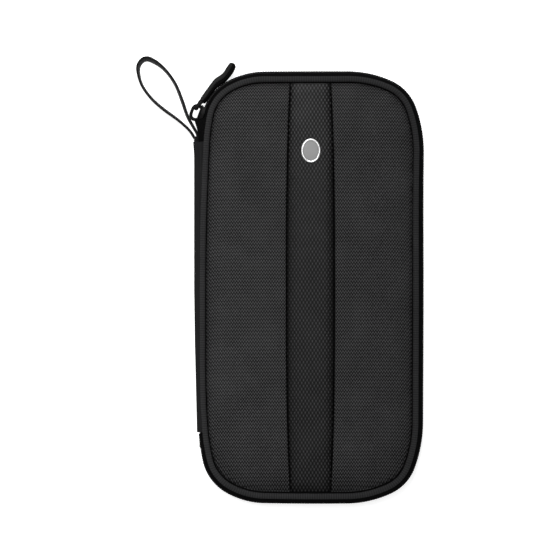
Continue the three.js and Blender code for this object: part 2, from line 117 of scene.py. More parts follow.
def make_studio():
    make_light("softbox", (-0.2, 0.4, 1.2), (-0.36, -0.04, 0), (0.5, 0.8), 3.3, 62)
    world = bpy.data.worlds.new("studio")
    world.use_nodes = True
    tree = world.node_tree
    way = tree.nodes.new("ShaderNodeTexCoord")
    split = tree.nodes.new("ShaderNodeSeparateXYZ")
    fade = tree.nodes.new("ShaderNodeMapRange")
    for key, value in {"From Min": 0.08, "From Max": 0.4, "To Min": 1.0, "To Max": 0.28}.items():
        fade.inputs[key].default_value = value
    tree.links.new(way.outputs["Generated"], split.inputs[0])
    tree.links.new(split.outputs["Z"], fade.inputs["Value"])
    tree.links.new(fade.outputs["Result"], tree.nodes["Background"].inputs["Strength"])
    tree.nodes["Background"].inputs["Color"].default_value = (1, 1, 1, 1)
    scene.world = world
    scene.view_settings.view_transform = "Standard"


# ---- materials ------------------------------------------------------------------------------
class Look:
    """A procedural material. Its helpers take sockets or plain numbers and give sockets."""

    def __init__(self, name, roughness=0.7, metallic=0.0, specular=0.3, sheen=0.0):
        self.material = bpy.data.materials.new(name)
        self.material.use_nodes = True
        self.tree = self.material.node_tree
        self.shader = self.tree.nodes["Principled BSDF"]
        constants = {"Roughness": roughness, "Metallic": metallic, "Specular IOR Level": specular,
                     "Sheen Weight": sheen, "Sheen Roughness": 0.4}
        for key, value in constants.items():
            self.shader.inputs[key].default_value = value

    def put(self, socket, value):
        if isinstance(value, bpy.types.NodeSocket):
            self.tree.links.new(value, socket)
        else:
            socket.default_value = value

    def math(self, operation, *values):
        node = self.tree.nodes.new("ShaderNodeMath")
        node.operation = operation
        for socket, value in zip(node.inputs, values):
            self.put(socket, value)
        return node.outputs[0]

    def plus(self, a, b):
        return self.math("ADD", a, b)

    def times(self, a, b):
        return self.math("MULTIPLY", a, b)

    def scaled(self, value, factor, offset):
        return self.math("MULTIPLY_ADD", value, factor, offset)

    def coords(self, source):
        """x, y and z in millimetres: of the object, or along and across a UV."""
        node = self.tree.nodes.new("ShaderNodeTexCoord")
        split = self.tree.nodes.new("ShaderNodeSeparateXYZ")
        self.tree.links.new(node.outputs[source], split.inputs[0])
        return [self.times(s, 1 / MM) for s in split.outputs]

    def noise(self, scale, detail):
        """Noise from 0 to 1 with features about 1 / scale metres across."""
        place = self.tree.nodes.new("ShaderNodeTexCoord")
        node = self.tree.nodes.new("ShaderNodeTexNoise")
        node.inputs["Scale"].default_value = scale
        node.inputs["Detail"].default_value = detail
        self.tree.links.new(place.outputs["Object"], node.inputs["Vector"])
        return node.outputs["Fac"]

    def wave(self, value, period, phase=0.0):
        """A sine from 0 to 1."""
        turn = self.scaled(value, 2 * math.pi / period, phase)
        return self.scaled(self.math("SINE", turn), 0.5, 0.5)

    def lozenge(self, x, y, across, down):
        """Raised spots from 0 to 1, staggered from row to row."""
        a = self.math("COSINE", self.times(x, 2 * math.pi / across))
        b = self.math("COSINE", self.times(y, 2 * math.pi / down))
        return self.scaled(self.times(a, b), 0.5, 0.5)

    def colour(self, factor, low, high, tint=1.03):
        """A grey that goes from one tone to another, a little bluer by the tint."""
        ramp = self.tree.nodes.new("ShaderNodeMix")
        ramp.data_type = "RGBA"
        self.put(ramp.inputs["Factor"], factor)
        ramp.inputs[6].default_value = (low, low, low * tint, 1)
        ramp.inputs[7].default_value = (high, high, high * tint, 1)
        self.tree.links.new(ramp.outputs[2], self.shader.inputs["Base Color"])

    def fade(self, value, begin, end):
        """0 below one value, 1 above another, with a soft rise between."""
        node = self.tree.nodes.new("ShaderNodeMapRange")
        node.interpolation_type = "SMOOTHSTEP"
        node.inputs["From Min"].default_value, node.inputs["From Max"].default_value = begin, end
        self.put(node.inputs["Value"], value)
        return node.outputs["Result"]

    def rough(self, factor, low, high):
        self.put(self.shader.inputs["Roughness"], self.scaled(factor, high - low, low))

    def bump(self, height, distance, strength=1.0):
        node = self.tree.nodes.new("ShaderNodeBump")
        node.inputs["Distance"].default_value = distance * MM
        node.inputs["Strength"].default_value = strength
        self.put(node.inputs["Height"], height)
        self.tree.links.new(node.outputs["Normal"], self.shader.inputs["Normal"])


def ribbed_nylon():
    """A dense nylon: small staggered spots of thread that line up into faint ribs."""
    look = Look("ribbed_nylon", specular=0.09)
    x, y, _ = look.coords("UV")
    y = look.scaled(look.noise(28, 2), 1.2, y)
    spots = look.lozenge(x, y, 1.6, 2.2)
    ribs = look.wave(y, 2.2)
    weave = look.scaled(spots, 0.84, look.times(ribs, 0.16))
    tone = look.math("POWER", weave, 2.3)
    height = look.scaled(look.wave(x, 0.36), 0.1, weave)
    patchy = look.scaled(look.noise(60, 3), 0.4, -0.2)
    look.colour(look.scaled(patchy, 0.5, tone), 0.0008, 0.078)
    look.rough(weave, 0.6, 0.42)
    look.bump(height, 0.2, 0.8)
    return look.material


def spine_cloth():
    """The same nylon turned so that its fine ribs run up the spine."""
    look = Look("spine_cloth", specular=0.0)
    x, y, z = look.coords("Object")
    round_it = look.plus(x, z)
    ribs = look.wave(round_it, 1.1)
    spots = look.lozenge(round_it, y, 1.1, 1.6)
    weave = look.scaled(ribs, 0.6, look.times(spots, 0.4))
    look.colour(weave, 0.004, 0.022)
    look.rough(weave, 0.7, 0.55)
    look.bump(weave, 0.16, 0.8)
    return look.material


def diamond_cloth():
    """A jacquard of raised lozenges, staggered from row to row, with a slight gloss, painted shade along its
    sewn edges and a painted highlight towards its top.
    """
    look = Look("diamond_cloth", specular=0.1)
    x, y, _ = look.coords("Object")
    lozenge = look.math("POWER", look.lozenge(x, y, 2.1, 3.5), 2.6)
    height = look.scaled(look.noise(2600, 2), 0.25, lozenge)
    patchy = look.scaled(look.noise(70, 3), 0.3, -0.15)
    # Painted shade: the colour darkens towards the strip's sewn edges, where the seams' grooves lie in
    # shade; the same mask makes those edges rougher.
    seam_painted_shade = look.math("ABSOLUTE", look.math("SUBTRACT", x, STRIP_X))
    seam_painted_shade = look.math("POWER", look.math("DIVIDE", seam_painted_shade, STRIP_HALF + STRIP_BOW), 5.0)
    # Painted highlight: the weave's colour is lighter towards the strip's top end (+Y), standing in for the
    # lamp's gloss there.
    top_painted_highlight = look.scaled(look.fade(y, 52, 96), 0.34, 0.66)
    # The weave and its random patches, lit up by the painted highlight.
    weave_and_painted_highlight = look.times(look.plus(lozenge, patchy), top_painted_highlight)
    look.colour(look.scaled(seam_painted_shade, -0.4, weave_and_painted_highlight), 0.0005, 0.054)
    look.rough(look.math("SUBTRACT", lozenge, seam_painted_shade), 0.44, 0.25)
    look.bump(height, 0.17, 0.8)
    return look.material


def binding_cloth(name, tone, rib, across, gloss):
    """Tape woven in fine ribs across its run, for piping and hems. Its UV runs along it."""
    look = Look(name, specular=gloss)
    run, girth, _ = look.coords("UV")
    ribs = look.wave(run, rib)
    lanes = look.wave(girth, across)
    height = look.times(ribs, look.scaled(lanes, 0.4, 0.6))
    patchy = look.scaled(look.noise(90, 3), 0.6, -0.3)
    look.colour(look.plus(height, patchy), tone * 0.7, tone * 1.3)
    look.rough(height, 0.75, 0.55)
    look.bump(height, 0.14, 0.8)
    return look.material


def plain_cloth(name, tone, pitch=0.7, tint=1.06):
    """A plain over-and-under weave."""
    look = Look(name, specular=0.2, sheen=0.1)
    x, y, _ = look.coords("Object")
    over = look.times(look.wave(x, pitch), look.wave(y, pitch))
    under = look.times(look.wave(x, pitch, math.pi), look.wave(y, pitch, math.pi))
    weave = look.plus(over, under)
    patchy = look.scaled(look.noise(40, 4), 0.8, -0.4)
    look.colour(look.plus(weave, patchy), tone * 0.75, tone * 1.25, tint)
    look.rough(weave, 0.9, 0.75)
    look.bump(weave, 0.12, 0.7)
    return look.material


def herringbone_tape():
    """Zip tape: slanted threads that turn back in lanes along it."""
    look = Look("zip_tape", specular=0.0)
    run, girth, _ = look.coords("UV")
    lane = look.math("PINGPONG", girth, 0.9)
    slant = look.wave(look.plus(run, look.times(lane, 1.1)), 0.62)
    patchy = look.scaled(look.noise(80, 3), 0.5, -0.25)
    look.colour(look.plus(slant, patchy), 0.002, 0.0055)
    look.rough(slant, 0.85, 0.7)
    look.bump(slant, 0.12, 0.8)
    return look.material


def moulded(name, tone, low, high, grain, depth, specular, metallic=0.0, tint=1.02):
    """A moulded or cast surface with a fine grain and faint handling marks."""
    look = Look(name, metallic=metallic, specular=specular)
    fine = look.noise(grain, 3)
    broad = look.noise(grain * 0.12, 3)
    look.colour(broad, tone * 0.85, tone * 1.15, tint)
    look.rough(look.scaled(fine, 0.4, look.times(broad, 0.6)), low, high)
    look.bump(fine, depth, 0.5)
    return look.material


def brushed_metal(name, tone, low, high):
    """Metal with fine scratches along x."""
    look = Look(name, metallic=1.0, specular=0.5)
    xyz = look.coords("Object")
    stretched = look.tree.nodes.new("ShaderNodeCombineXYZ")
    for i, socket in enumerate(stretched.inputs):
        look.put(socket, look.times(xyz[i], 0.3 if i == 0 else 14.0))
    scratch = look.tree.nodes.new("ShaderNodeTexNoise")
    scratch.inputs["Scale"].default_value = 1.0
    look.tree.links.new(stretched.outputs[0], scratch.inputs["Vector"])
    look.colour(scratch.outputs["Fac"], tone * 0.9, tone * 1.1, 1.0)
    look.rough(scratch.outputs["Fac"], low, high)
    look.bump(scratch.outputs["Fac"], 0.01, 0.4)
    return look.material


def ribbon_cloth():
    """Elastic ribbon: cords along it, bound by fine cross threads."""
    look = Look("ribbon_cloth", specular=0.12, sheen=0.02)
    run, girth, _ = look.coords("UV")
    cords = look.wave(girth, 0.85)
    threads = look.wave(look.plus(run, look.times(girth, 0.3)), 0.6)
    height = look.times(cords, look.scaled(threads, 0.5, 0.5))
    look.colour(height, 0.002, 0.009)
    look.rough(height, 0.8, 0.6)
    look.bump(height, 0.14, 0.8)
    return look.material


LOOKS = {
    "nylon": ribbed_nylon(),
    "spine": spine_cloth(),
    "strip": diamond_cloth(),
    "piping": binding_cloth("piping_binding", 0.026, 1.4, 1.0, 0.0),
    # Near-black cord for the seams beside the strip and the piping: a real seam, whose very dark tone is
    # painted shade of the seams' grooves.
    "shade_cord": moulded("seam_shade_cord", 0.002, 0.75, 0.85, 1500, 0.03, 0.02),
    "binding": binding_cloth("inner_binding", 0.016, 1.25, 0.9, 0.1),
    "lining": plain_cloth("lining_cloth", 0.085),
    "pocket": plain_cloth("pocket_cloth", 0.06, 0.8),
    "tape": herringbone_tape(),
    "coil": moulded("coil_nylon", 0.0075, 0.3, 0.45, 1500, 0.02, 0.06),
    "thread": moulded("sewing_thread", 0.006, 0.7, 0.8, 2500, 0.03, 0.0),
    "grey_thread": moulded("grey_thread", 0.12, 0.6, 0.75, 2500, 0.03, 0.3),
    "net": moulded("net_yarn", 0.016, 0.6, 0.75, 2000, 0.03, 0.3),
    "enamel": moulded("black_enamel", 0.0025, 0.36, 0.5, 700, 0.03, 0.05),
    "gunmetal": moulded("gunmetal", 0.10, 0.28, 0.42, 700, 0.02, 0.5, 0.9),
    "rubber": moulded("grip_rubber", 0.002, 0.5, 0.62, 1100, 0.06, 0.03),
    "grip": moulded("grip_face", 0.012, 0.5, 0.65, 1100, 0.06, 0.1),
    "silver": brushed_metal("bright_rim", 0.62, 0.25, 0.35),
    "field": moulded("badge_grey", 0.235, 0.4, 0.5, 900, 0.02, 0.3, 0.0, 1.0),
    "ribbon": ribbon_cloth(),
    "foam": plain_cloth("foam_board", 0.02),
}


# ---- outline --------------------------------------------------------------------------------
class Corner:
    """A corner of the outline as arcs, from the top edge (heading 0) to the side (heading 90)."""

    def __init__(self, arcs, side):
        self.side, self.pieces = side, []
        heading, u, v = 0.0, 0.0, 0.0
        arcs = list(arcs)
        while heading < 90 - 1e-9:
            if arcs:
                radius, turn = arcs.pop(0)
            else:
                radius, turn = (HALF_H - v) / math.cos(math.radians(heading)), 90 - heading
            a, b = math.radians(heading), math.radians(heading + turn)
            centre = (u - radius * math.sin(a), v + radius * math.cos(a))
            self.pieces.append((heading, heading + turn, radius, centre))
            u, v = u + radius * (math.sin(b) - math.sin(a)), v + radius * (math.cos(a) - math.cos(b))
            heading += turn
        self.start = HALF_W - u

    def stations(self, begin, end, upper, step):
        """Rows of centre x, centre y, radius and outward x, y, going from one heading to another."""
        rows = []
        for low, high, radius, (cu, cv) in self.pieces:
            a, b = max(low, min(begin, end)), min(high, max(begin, end))
            if b - a < 1e-6:
                continue
            count = max(1, math.ceil(radius * math.radians(b - a) / step))
            for heading in np.radians(np.linspace(a, b, count + 1)):
                rows.append((heading, self.side * (self.start + cu), upper * (HALF_H - cv), radius,
                             self.side * math.sin(heading), upper * math.cos(heading)))
        rows.sort(key=lambda row: row[0], reverse=begin > end)
        kept = [rows[0]] + [b for a, b in zip(rows, rows[1:]) if b[0] != a[0]]
        return [row[1:] for row in kept]


LEFT = Corner(LEFT_CORNER, -1)
RIGHT = Corner(RIGHT_CORNER, 1)


class Path:
    """Stations along the outline. at(inset, z) gives the points at an inset from it."""

    def __init__(self, rows, closed, step):
        rows = np.array(rows)
        filled = [rows[0]]
        following = list(rows[1:]) + ([rows[0]] if closed else [])
        for row in following:
            last = filled[-1]
            gap = np.hypot(*(row[:2] + row[2] * row[3:] - last[:2] - last[2] * last[3:]))
            for k in range(1, math.ceil(gap / step - 1e-6)):
                filled.append(last + (row - last) * k / math.ceil(gap / step - 1e-6))
            filled.append(row)
        if closed:
            filled.pop()
        self.rows, self.closed = np.array(filled), closed
        edge = self.rows[:, :2] + self.rows[:, 2:3] * self.rows[:, 3:]
        near = [np.exp(-(((edge - spot) / reach) ** 2).sum(1)) for spot, reach, _, _ in EASE]
        self.ease = np.array([[row[2], row[3]] for row in EASE]).T @ np.array(near)

    def at(self, inset, z=0.0):
        r = self.rows
        shift = self.ease[0] + (self.ease[1] - self.ease[0]) * np.clip(inset / 4, 0, 1)
        xy = r[:, :2] + (r[:, 2:3] - inset + shift[:, None]) * r[:, 3:]
        return np.column_stack([xy, np.full(len(xy), z)])


def run(begin, end, step=1.0):
    """Clockwise seen from above: from a heading on the top left corner round to the bottom left."""
    rows = LEFT.stations(begin, 0, 1, step) + RIGHT.stations(0, 90, 1, step)
    rows += RIGHT.stations(90, 0, -1, step) + LEFT.stations(0, end, -1, step)
    return Path(rows, False, step)


def whole(step=1.0):
    rows = LEFT.stations(90, 0, 1, step) + RIGHT.stations(0, 90, 1, step)
    rows += RIGHT.stations(90, 0, -1, step) + LEFT.stations(0, 90, -1, step)[:-1]
    return Path(rows, True, step)


# ---- meshes ---------------------------------------------------------------------------------
def unit(v):
    return v / np.linalg.norm(v, axis=-1, keepdims=True)


def directions(line):
    return unit(np.gradient(line, axis=0))


def travelled(line):
    """How far along a line each of its points lies."""
    return np.concatenate([[0], np.cumsum(np.linalg.norm(np.diff(line, axis=0), axis=1))])


def resample(line, places):
    """The points at given distances along a line."""
    s = travelled(line)
    return np.column_stack([np.interp(places, s, line[:, k]) for k in range(3)])


def tube(line, a, b, sides, power=1.0):
    """Rings round a line, with half axes a and b across it. A power under 1 squares them off."""
    turn = np.linspace(0, 2 * math.pi, sides, endpoint=False)
    cos, sin = (np.sign(f) * np.abs(f) ** power for f in (np.cos(turn), np.sin(turn)))
    a, b = np.broadcast_to(a, line.shape), np.broadcast_to(b, line.shape)
    return line[:, None] + cos[None, :, None] * a[:, None] + sin[None, :, None] * b[:, None]


class Shape:
    """Points in millimetres with faces, and a UV in metres for each face corner."""

    def __init__(self):
        self.points, self.faces, self.uvs, self.count = [], [], [], 0

    def add(self, points, faces, uvs=None):
        points = np.asarray(points, float).reshape(-1, 3)
        self.points.append(points)
        self.faces += [tuple(int(i) + self.count for i in face) for face in faces]
        if uvs is None:
            uvs = [tuple(points[i][:2]) for face in faces for i in face]
        self.uvs.append(np.asarray(uvs, float).reshape(-1, 2))
        self.count += len(points)
        return self

    def grid(self, p, closed_run=False, closed_girth=False, caps=False):
        """A skin over points [run][girth]."""
        p = np.asarray(p, float)
        n, m = p.shape[:2]
        line = p.mean(1)
        if closed_run:
            line = np.vstack([line, line[:1]])
        ring = np.vstack([p[0], p[0][:1]]) if closed_girth else p[0]
        u, v = travelled(line), travelled(ring)
        i, j = np.meshgrid(np.arange(n if closed_run else n - 1),
                           np.arange(m if closed_girth else m - 1), indexing="ij")
        i, j = i.ravel(), j.ravel()
        i2, j2 = (i + 1) % n, (j + 1) % m
        faces = np.column_stack([i * m + j, i2 * m + j, i2 * m + j2, i * m + j2])
        corners = ((0, 0), (1, 0), (1, 1), (0, 1))
        uv = np.stack([np.column_stack([u[i + a], v[j + b]]) for a, b in corners], 1)
        faces, uv = faces.tolist(), uv.reshape(-1, 2)
        if caps:
            faces += [list(range(m))[::-1], [(n - 1) * m + k for k in range(m)]]
            uv = np.vstack([uv] + [np.column_stack([np.zeros(m), v[:m]])] * 2)
        return self.add(p.reshape(-1, 3), faces, uv)

    def solid(self, rings):
        """A skin over rings of points, capped at both ends."""
        return self.grid(rings, closed_girth=True, caps=True)

    def hoop(self, rings):
        """A closed ring: each row of points goes right round it."""
        return self.grid(np.array(rings).transpose(1, 0, 2), closed_run=True, closed_girth=True)

    def make(self, name, look, body, slot, replaces=(), smooth=40):
        mesh = bpy.data.meshes.new(name)
        mesh.from_pydata((np.vstack(self.points) * MM).tolist(), [], self.faces)
        layer = mesh.uv_layers.new(name="weave")
        layer.data.foreach_set("uv", (np.vstack(self.uvs) * MM).astype(np.float32).ravel())
        mesh.materials.append(LOOKS[look])
        mesh.validate()
        outward(mesh)
        mesh.polygons.foreach_set("use_smooth", [True] * len(mesh.polygons))
        mesh.set_sharp_from_angle(angle=math.radians(smooth))
        piece = bpy.data.objects.new(name, mesh)
        scene.collection.objects.link(piece)
        if body:
            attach(piece, body)
        if replaces:
            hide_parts(*replaces)
        return piece


def outward(mesh):
    """Turns each closed shell's faces to point out."""
    work = bmesh.new()
    work.from_mesh(mesh)
    bmesh.ops.recalc_face_normals(work, faces=work.faces)
    work.to_mesh(mesh)
    work.free()


def sweep(shape, path, section):
    """A closed section of [inset, z] carried along a path."""
    rings = np.stack([path.at(inset, z) for inset, z in section], 1)
    return shape.grid(rings, closed_run=path.closed, closed_girth=True, caps=not path.closed)


def oval(x, y, half_x, half_y, count):
    a = np.linspace(0, 2 * math.pi, count, endpoint=False)
    return np.column_stack([x + half_x * np.cos(a), y + half_y * np.sin(a)])


def rounded(low, high, radius, steps=6, inset=0.0):
    """A rectangle between two corners, with its own corners rounded, anticlockwise."""
    r = max(radius - inset, 0.05)
    x0, y0, x1, y1 = low[0] + inset + r, low[1] + inset + r, high[0] - inset - r, high[1] - inset - r
    points = []
    for quarter, (x, y) in enumerate(((x1, y1), (x0, y1), (x0, y0), (x1, y0))):
        for a in np.radians(np.linspace(90 * quarter, 90 * quarter + 90, steps + 1)):
            points.append((x + r * math.cos(a), y + r * math.sin(a)))
    return np.array(points)


def level(points, z):
    return np.column_stack([points, np.full(len(points), z)])


def inward(points, distance):
    """An anticlockwise outline moved in by a distance at every point."""
    before, after = np.roll(points, 1, 0), np.roll(points, -1, 0)
    a, b = points - before, after - points
    a, b = unit(a), unit(b)
    normal = np.column_stack([-(a + b)[:, 1], (a + b)[:, 0]])
    normal /= np.maximum(1e-9, np.linalg.norm(normal, axis=1))[:, None]
    lean = np.maximum(0.5, (normal * np.column_stack([-a[:, 1], a[:, 0]])).sum(1))
    return points + normal * (distance / lean)[:, None]


def slab(shape, outline, low, high, edge):
    """A plate with rounded edges."""
    steps = np.radians((0, 30, 60, 90))
    rings = []
    for turns, face, way in ((steps, low, 1), (steps[::-1], high, -1)):
        for a in turns:
            z = face + way * edge * (1 - math.cos(a))
            rings.append(level(inward(outline, edge * (1 - math.sin(a))), z))
    return shape.solid(rings)


def stitches(shape, line, pitch=2.8, length=2.1, radius=0.22, up=(0, 0, 1)):
    """A row of stitches along a line of points; each one is a thread that dives at both ends."""
    line, up = np.asarray(line, float), np.asarray(up, float)
    reach = np.linspace(-0.5, 0.5, 6) * length
    sink = np.array([1.2, 0.25, 0, 0, 0.25, 1.2]) * radius
    for middle in np.arange(pitch / 2, travelled(line)[-1] - pitch / 3, pitch):
        p = resample(line, middle + reach)
        side = np.cross(up, unit(p[-1] - p[0]))
        shape.solid(tube(p - sink[:, None] * up, radius * side, radius * up, 6))
    return shape


# ---- covers ---------------------------------------------------------------------------------
PAD_DEPTH = 3.5


def roll(distance, width, drop):
    """How far an edge has rolled down at a distance in from it."""
    t = np.clip(1 - distance / width, 0, 1)
    return drop * (1 - np.sqrt(1 - t * t))


def edge_distance(xy, inset):
    """Distance in from the outline at an inset."""
    edge = whole(0.8).at(inset)[:, :2]
    flat = xy.reshape(-1, 2)
    near = [((chunk[:, None] - edge[None]) ** 2).sum(2).min(1) for chunk in np.array_split(flat, 40)]
    return np.sqrt(np.concatenate(near)).reshape(xy.shape[:-1])


def side_x(y, side, inset):
    """The outline's x at heights y, on one side."""
    corner = LEFT if side < 0 else RIGHT
    rows = np.vstack([Path(corner.stations(0, 90, upper, 0.4), False, 0.4).at(inset) for upper in (1, -1)])
    order = np.argsort(rows[:, 1])
    return np.interp(y, rows[order, 1], rows[order, 0])


def strip_edge(y, side, extra=0.0):
    t = np.clip(np.abs(y) / HALF_H, 0, 1)
    return STRIP_X + side * (STRIP_HALF + extra + STRIP_BOW * (1 - t ** 3))


def pad_rows(count):
    """Heights up a cover, closer together towards both ends."""
    return (HALF_H - PANEL_INSET) * np.sin(np.linspace(-math.pi / 2, math.pi / 2, count))


def pad(name, x_low, x_high, y, rise, underside, cloth, body, node, droop=0.0):
    """A padded panel: a domed face over a grid, closed by a flat underside.

    The weave's ribs dip by the droop at the sewn edge.
    """
    share = 0.5 * (1 - np.cos(np.linspace(0, math.pi, 72)))
    x = x_low[:, None] + (x_high - x_low)[:, None] * share[None]
    yy = np.repeat(y[:, None], len(share), 1)
    edge = edge_distance(np.dstack([x, yy]), PANEL_INSET)
    top = np.dstack([x, yy, rise(x, yy, edge)]).reshape(-1, 3)
    weave = np.dstack([x, yy + droop * np.exp(-edge / 3.5)]).reshape(-1, 2)
    ids = np.arange(len(top)).reshape(x.shape)
    face = np.stack([ids[:-1, :-1], ids[1:, :-1], ids[1:, 1:], ids[:-1, 1:]], 2).reshape(-1, 4)
    rim = np.concatenate([ids[:, 0], ids[-1, 1:], ids[-2::-1, -1], ids[0, -2:0:-1]])
    foot = len(top) + np.arange(len(rim))
    wall = np.column_stack([rim, np.roll(rim, -1), np.roll(foot, -1), foot])
    points = np.vstack([top, level(top[rim, :2], underside)])
    uvs = np.vstack([weave[face.ravel()], points[wall.ravel(), :2], points[foot[::-1], :2]])
    shape = Shape().add(points, face.tolist() + wall.tolist() + [foot[::-1].tolist()], uvs)
    shape.make(name, cloth, body, cloth, (node,))


def front_panels():
    y = pad_rows(190)
    for side, word in ((-1, "left"), (1, "right")):
        def rise(x, yy, edge, side=side):
            inner = side * (x - strip_edge(yy, side, 0.45))
            ripple = 0.05 * np.sin(yy / 9.3 + 1.3 * side) * np.sin(x / 7.1)
            crown = 0.25 * np.clip(edge / 24, 0, 1) + ripple * np.clip(edge / 6, 0, 1)
            foot = HALF_H - PANEL_INSET + yy
            z = DEPTH - 0.15 + crown - roll(edge, 13, 2.9) - roll(edge, 1.4, 0.4) - roll(foot, 28, 2.2)
            return np.maximum(z - roll(inner, 1.3, 0.7), DEPTH - PAD_DEPTH + 0.1)
        inner_x, outer_x = strip_edge(y, side, 0.45), side_x(y, side, PANEL_INSET)
        low, high = (outer_x, inner_x) if side < 0 else (inner_x, outer_x)
        pad(f"front_pad_{word}", low, high, y, rise, DEPTH - PAD_DEPTH, "nylon", "front_half",
            f"front_panel_{word}", 1.6)


def back_panel():
    y = pad_rows(150)

    def rise(x, yy, edge):
        return roll(edge, 12, 2.5) + roll(edge, 1.4, 0.4)
    pad("back_pad", side_x(y, -1, PANEL_INSET), side_x(y, 1, PANEL_INSET), y, rise, PAD_DEPTH, "nylon",
        "back_half", "back_outer_fabric", 1.6)


def centre_strip():
    y = pad_rows(120)

    def rise(x, yy, edge):
        side = np.clip(strip_edge(yy, 1, 0.05) - STRIP_X - np.abs(x - STRIP_X), 0, None)
        foot = HALF_H - PANEL_INSET + yy
        z = DEPTH - 0.85 - roll(side, 5, 1.1) - roll(side, 1, 0.3) - roll(edge, 6, 0.9)
        return np.maximum(z - roll(foot, 26, 1.4), DEPTH - PAD_DEPTH + 0.1)
    pad("strip_cloth", strip_edge(y, -1, 0.05), strip_edge(y, 1, 0.05), y, rise, DEPTH - PAD_DEPTH, "strip",
        "front_half", "front_centre_strip")
    # Cords along both seams of the strip, near-black as painted shade of the grooves between strip and
    # panels.
    shade_cords = Shape()
    y = np.linspace(-1, 1, 120) * (HALF_H - PANEL_INSET)
    drop = roll(HALF_H - PANEL_INSET - np.abs(y), 6, 0.7) + roll(HALF_H - PANEL_INSET + y, 26, 1.3)
    for sign in (-1, 1):
        line = np.column_stack([strip_edge(y, sign, 0.27), y, DEPTH - 1.85 - drop])
        shade_cords.solid(tube(line, (0.34, 0, 0), 0.4 * UP, 8))
    shade_cords.make("strip_seam_shade_cords", "shade_cord", "front_half", "strip")


def flip(section):
    return [(inset, DEPTH - z) for inset, z in section]


def piping():
    path = whole(0.8)
    section = oval(PIPING_INSET, PIPING_HEIGHT, PIPING_RADIUS, PIPING_RADIUS, 22)
    for half, turned in (("back", section), ("front", flip(section))):
        sweep(Shape(), path, turned).make(f"{half}_corded_piping", "piping", f"{half}_half", "binding",
                                          (f"{half}_piping",))
        # A cord in the seam between piping and panel, near-black as painted shade of that groove.
        shade_cord = oval(PANEL_INSET - 0.35, 3.4, 0.7, 0.7, 8)
        sweep(Shape(), path, shade_cord if half == "back" else flip(shade_cord)).make(
            f"{half}_seam_shade_cord", "shade_cord", f"{half}_half", "binding")


# ---- zip ------------------------------------------------------------------------------------
# the tape's section, and one turn of a coil: along it, in from the outline, and up from mid depth
TAPE = [(3.9, 2.7), (4.8, 2.9), (3.8, 5.2), (2.1, 8.4), (1.6, 10.4), (1.0, 10.4), (1.3, 8.4), (2.8, 5.2)]
TOOTH = np.array([
    (0, 1.95, -2.5), (0, 2.1, -1.2), (0.05, 2.1, -0.2), (0.2, 1.95, 0.38), (0.42, 1.2, 0.58),
    (0.6, 0.6, 0.38), (0.72, 0.4, -0.2), (0.78, 0.4, -1.2), (0.85, 0.6, -2.5)])
TOOTH_RADIUS = np.array([0.3, 0.3, 0.3, 0.36, 0.4, 0.36, 0.3, 0.3, 0.3])[:, None]


def zip_tapes():
    """Both tapes, which splay a little behind the slider and end beside the spine."""
    path = run(86.6, 86.6, 1.0)
    y = path.at(0.0)[:, 1]
    splay = np.interp(y, (86, 91.2, 94.2, 97, 98.8, 100.5), (0.6, 1.6, 2.8, 4.2, 4.9, 0))
    splay[(np.arange(len(y)) > len(y) // 3) | (path.rows[:, 3] > 0)] = 0
    for half, turned in (("back", TAPE), ("front", flip(TAPE))):
        rings = []
        for inset, z in turned:
            lift = np.clip((min(z, DEPTH - z) - 4.5) / 5, 0, 1)
            p = path.at(inset, z)
            p[:, :2] += (splay * lift)[:, None] * path.rows[:, 3:]
            rings.append(p)
        Shape().solid(np.stack(rings, 1)).make(
            f"{half}_woven_tape", "tape", f"{half}_half", "zip", (f"{half}_zip_tape",))


def tooth(shape, centre, way, along, z_sign):
    """One turn of the coil: out from the tape, round a head past the middle, and back."""
    p = centre + TOOTH[:, :1] * along - TOOTH[:, 1:2] * way + z_sign * TOOTH[:, 2:] * UP
    t = directions(p)
    normal = unit(np.cross(t, along + np.array([1e-4, 0, 0])))
    shape.solid(tube(p, TOOTH_RADIUS * normal, TOOTH_RADIUS * np.cross(t, normal), 6))


def zip_coils():
    """Teeth of both coils, set half a pitch apart so that they mesh, and the cord sewn over them."""
    path = run(82, 86, 0.5)
    line = path.at(0.0)
    s = travelled(line)
    out = np.column_stack([path.rows[:, 3:], np.zeros(len(line))])
    for half, sign, offset in (("back", 1, 0.0), ("front", -1, 0.5)):
        shape = Shape()
        for spot in np.arange(1.0 + offset * TOOTH_PITCH, s[-1] - 1.5, TOOTH_PITCH):
            centre = resample(line, spot)[0] + DEPTH / 2 * UP
            way = np.array([np.interp(spot, s, out[:, k]) for k in range(3)])
            tooth(shape, centre, way, np.cross(way, UP), sign)
        section = oval(1.35, 10.35, 1.1, 0.42, 10)
        sweep(shape, path, section if half == "back" else flip(section))
        shape.make(f"{half}_coil_teeth", "coil", f"{half}_half", "zip", (f"{half}_zip_coil",))
        rows = Shape()
        for height in (9.95, 10.75):
            row = run(82, 86, 1.0).at(0.25, height if half == "back" else DEPTH - height)
            stitches(rows, row, TOOTH_PITCH, 1.15, 0.13)
        rows.make(f"{half}_coil_stitching", "thread", f"{half}_half", "zip")


def zip_stops():
    for half in ("back", "front"):
        low, high = mm_box(f"{half}_zip_stop")
        outline = rounded(low + (0.9, 0, 0), high - (0.2, 0, 0), 0.8)
        slab(Shape(), outline, low[2], high[2], 0.4).make(
            f"{half}_end_stop", "enamel", f"{half}_half", "dark_metal", (f"{half}_zip_stop",))


# ---- spine ----------------------------------------------------------------------------------
SPINE_LOW, SPINE_HIGH = mm_box("spine_cover")


def spine_rows(count=90, less=-0.4):
    y = np.linspace(SPINE_LOW[1] + less, SPINE_HIGH[1] - less, count)
    outer = np.interp(y, (-85, -60, -30, 0, 78, 86), (-65.9, -66.5, -67.2, -67.6, -67.6, -68.2))
    seam = side_x(y, -1, PIPING_INSET - 0.4)
    return y, outer, seam


